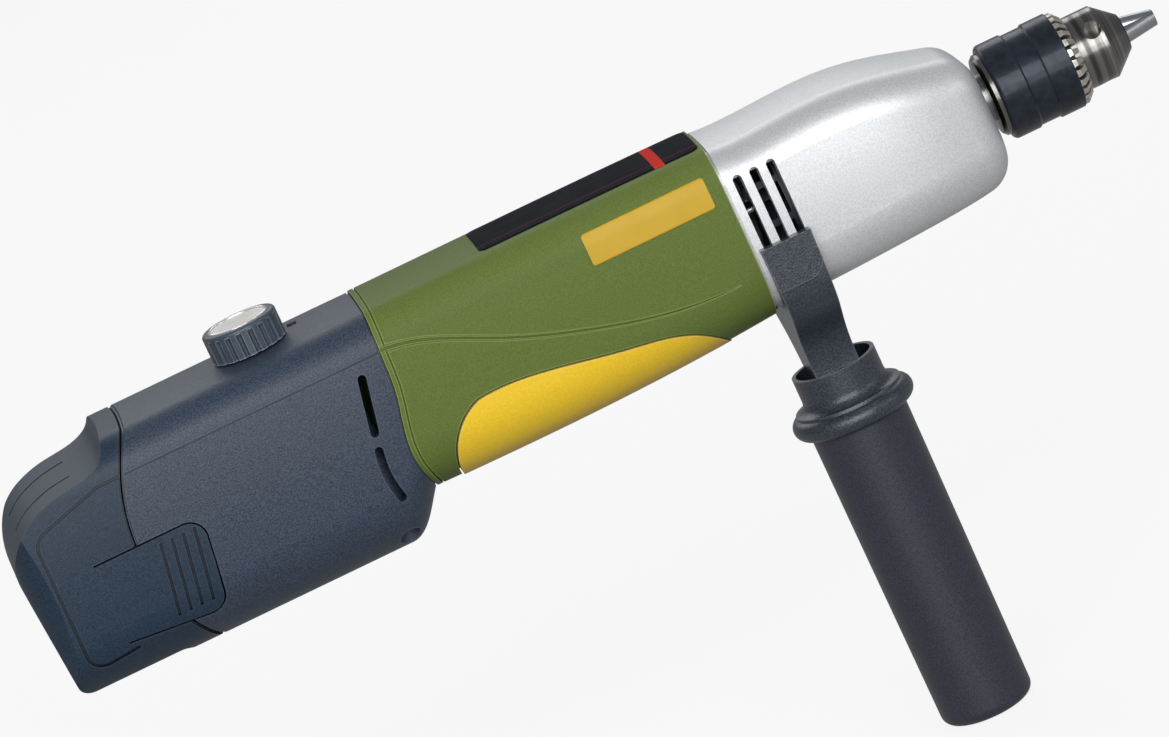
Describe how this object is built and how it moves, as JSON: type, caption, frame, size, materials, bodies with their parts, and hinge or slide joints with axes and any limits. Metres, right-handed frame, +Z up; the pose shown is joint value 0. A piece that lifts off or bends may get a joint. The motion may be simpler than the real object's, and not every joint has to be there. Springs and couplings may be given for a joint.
{
  "type": "straight die grinder",
  "caption": "Cordless straight die grinder with a keyed three-jaw chuck, tapered metal gear head, moulded motor housing, speed dial, slide-in battery with side latches and a side handle.",
  "frame": {"origin": "on the spindle axis, at the mouth of the chuck jaws in their rest position", "axes": "+X along the spindle, out of the chuck; +Z up through the speed dial; the side handle hangs along -Z"},
  "size_m": [0.3222, 0.0526, 0.1772],
  "materials": {
    "chuck_steel": "brushed bright steel",
    "key_ring_steel": "cut teeth, bright",
    "sleeve_black": "blackened steel, semi-gloss",
    "jaw_steel": "ground hardened steel",
    "bearing_steel": "polished",
    "gear_steel": "cut steel",
    "cast_head": "satin blasted die casting",
    "plate_aluminium": "machined",
    "olive_plastic": "fine satin moulding",
    "yellow_rubber": "soft moulding",
    "dark_plastic": "fine textured moulding",
    "battery_plastic": "fine textured moulding",
    "handle_plastic": "fine grained moulding",
    "dial_plastic": "ribbed moulding",
    "dial_disc": "spun bright disc",
    "screw_steel": "zinc plated",
    "motor_steel": "drawn can",
    "magnet": "sintered",
    "core_iron": "stacked sheet",
    "copper": "enamelled wire",
    "brass": "turned",
    "carbon": "pressed carbon",
    "black_plastic": "moulded",
    "seal_rubber": "moulded",
    "board_green": "printed board",
    "cell_wrap": null,
    "contact_copper": "plated"
  },
  "bodies": {
    "tool": {"front_bearing_outer": "bearing_steel", "front_bearing_balls": "bearing_steel", "rear_bearing_outer": "bearing_steel", "rear_bearing_balls": "bearing_steel", "bearing_spacer": "plate_aluminium", "nose_seal": "seal_rubber", "ring_gear": "gear_steel", "gear_plate": "plate_aluminium", "gear_head": "cast_head", "head_screws": "screw_steel", "motor_housing": "olive_plastic", "grip_pad": "yellow_rubber", "motor_can": "motor_steel", "motor_bush_front": "brass", "motor_bush_rear": "brass", "motor_magnets": "magnet", "motor_end_cap": "black_plastic", "carbon_brushes": "carbon", "rear_shell_upper": "dark_plastic", "rear_shell_lower": "dark_plastic", "shell_screws": "screw_steel", "potentiometer": "black_plastic", "control_board": "board_green", "terminal_block": "black_plastic", "terminal_blades": "contact_copper", "handle_yoke": "handle_plastic", "handle_stud": "screw_steel"},
    "spindle": {"spindle": "gear_steel", "front_bearing_inner": "bearing_steel", "rear_bearing_inner": "bearing_steel", "planet_carrier": "gear_steel", "planet_pins": "bearing_steel", "chuck_body": "chuck_steel"},
    "sleeve": {"chuck_sleeve": "sleeve_black", "chuck_gear_ring": "key_ring_steel", "chuck_nut": "gear_steel"},
    "jaw_1": {"chuck_jaw_1": "jaw_steel"},
    "jaw_2": {"chuck_jaw_2": "jaw_steel"},
    "jaw_3": {"chuck_jaw_3": "jaw_steel"},
    "planet_1": {"planet_gear_1": "gear_steel"},
    "planet_2": {"planet_gear_2": "gear_steel"},
    "planet_3": {"planet_gear_3": "gear_steel"},
    "rotor": {"motor_shaft": "bearing_steel", "armature_core": "core_iron", "armature_windings": "copper", "commutator": "contact_copper", "cooling_fan": "black_plastic", "sun_gear": "gear_steel"},
    "dial": {"speed_dial": "dial_plastic", "dial_cap": "dial_disc", "dial_shaft": "screw_steel"},
    "battery": {"battery_case": "battery_plastic", "battery_tower": "black_plastic", "battery_cells": "cell_wrap", "battery_contacts": "contact_copper"},
    "latch_right": {"latch_right": "battery_plastic"},
    "latch_left": {"latch_left": "battery_plastic"},
    "insert": {"grip_insert": "brass"},
    "grip": {"handle_collar": "handle_plastic", "handle_grip": "handle_plastic"}
  },
  "joints": [
    {"name": "motor_spin", "type": "hinge", "parent": "tool", "child": "rotor", "pos_m": [0, 0, 0], "axis": [1, 0, 0], "continuous": true},
    {"name": "spindle_spin", "type": "hinge", "parent": "tool", "child": "spindle", "pos_m": [0, 0, 0], "axis": [1, 0, 0], "continuous": true},
    {"name": "planet_1_spin", "type": "hinge", "parent": "spindle", "child": "planet_1", "pos_m": [-0.0947, 0.0105, 0], "axis": [1, 0, 0], "continuous": true},
    {"name": "planet_2_spin", "type": "hinge", "parent": "spindle", "child": "planet_2", "pos_m": [-0.0947, -0.00525, 0.00909], "axis": [1, 0, 0], "continuous": true},
    {"name": "planet_3_spin", "type": "hinge", "parent": "spindle", "child": "planet_3", "pos_m": [-0.0947, -0.00525, -0.00909], "axis": [1, 0, 0], "continuous": true},
    {"name": "chuck_sleeve_turn", "type": "hinge", "parent": "spindle", "child": "sleeve", "pos_m": [0, 0, 0], "axis": [1, 0, 0], "range_deg": [0, 2680]},
    {"name": "jaw_1_slide", "type": "slide", "parent": "spindle", "child": "jaw_1", "axis": [-0.9797, -0.183, -0.0815], "range_m": [0, 0.0112]},
    {"name": "jaw_2_slide", "type": "slide", "parent": "spindle", "child": "jaw_2", "axis": [-0.9797, 0.1621, -0.1178], "range_m": [0, 0.0112]},
    {"name": "jaw_3_slide", "type": "slide", "parent": "spindle", "child": "jaw_3", "axis": [-0.9797, 0.0209, 0.1993], "range_m": [0, 0.0112]},
    {"name": "dial_turn", "type": "hinge", "parent": "tool", "child": "dial", "pos_m": [-0.2441, 0, 0.0235], "axis": [0, 0, 1], "range_deg": [-135, 135]},
    {"name": "battery_slide", "type": "slide", "parent": "tool", "child": "battery", "axis": [-1, 0, 0], "range_m": [0, 0.06]},
    {"name": "latch_right_press", "type": "hinge", "parent": "battery", "child": "latch_right", "pos_m": [-0.3035, -0.0224, -0.01675], "axis": [0, 0, 1], "range_deg": [0, 4], "stiffness_Nm_per_rad": 0.6},
    {"name": "latch_left_press", "type": "hinge", "parent": "battery", "child": "latch_left", "pos_m": [-0.3035, 0.0224, -0.01675], "axis": [0, 0, -1], "range_deg": [0, 4], "stiffness_Nm_per_rad": 0.6},
    {"name": "grip_lift", "type": "slide", "parent": "tool", "child": "insert", "axis": [0, 0, -1], "range_m": [0, 0.00375]},
    {"name": "grip_turn", "type": "hinge", "parent": "insert", "child": "grip", "pos_m": [-0.1113, 0, -0.1456], "axis": [0, 0, -1], "range_deg": [0, 1081]}
  ],
  "couplings": [
    {"joint": "spindle_spin", "follows": "motor_spin", "ratio": 0.2},
    {"joint": "planet_1_spin", "follows": "motor_spin", "ratio": -0.53333},
    {"joint": "planet_2_spin", "follows": "motor_spin", "ratio": -0.53333},
    {"joint": "planet_3_spin", "follows": "motor_spin", "ratio": -0.53333},
    {"joint": "jaw_1_slide", "follows": "chuck_sleeve_turn", "m_per_rad": 0.00023873},
    {"joint": "jaw_2_slide", "follows": "chuck_sleeve_turn", "m_per_rad": 0.00023873},
    {"joint": "jaw_3_slide", "follows": "chuck_sleeve_turn", "m_per_rad": 0.00023873},
    {"joint": "grip_turn", "follows": "grip_lift", "rad_per_m": 5026.5}
  ]
}
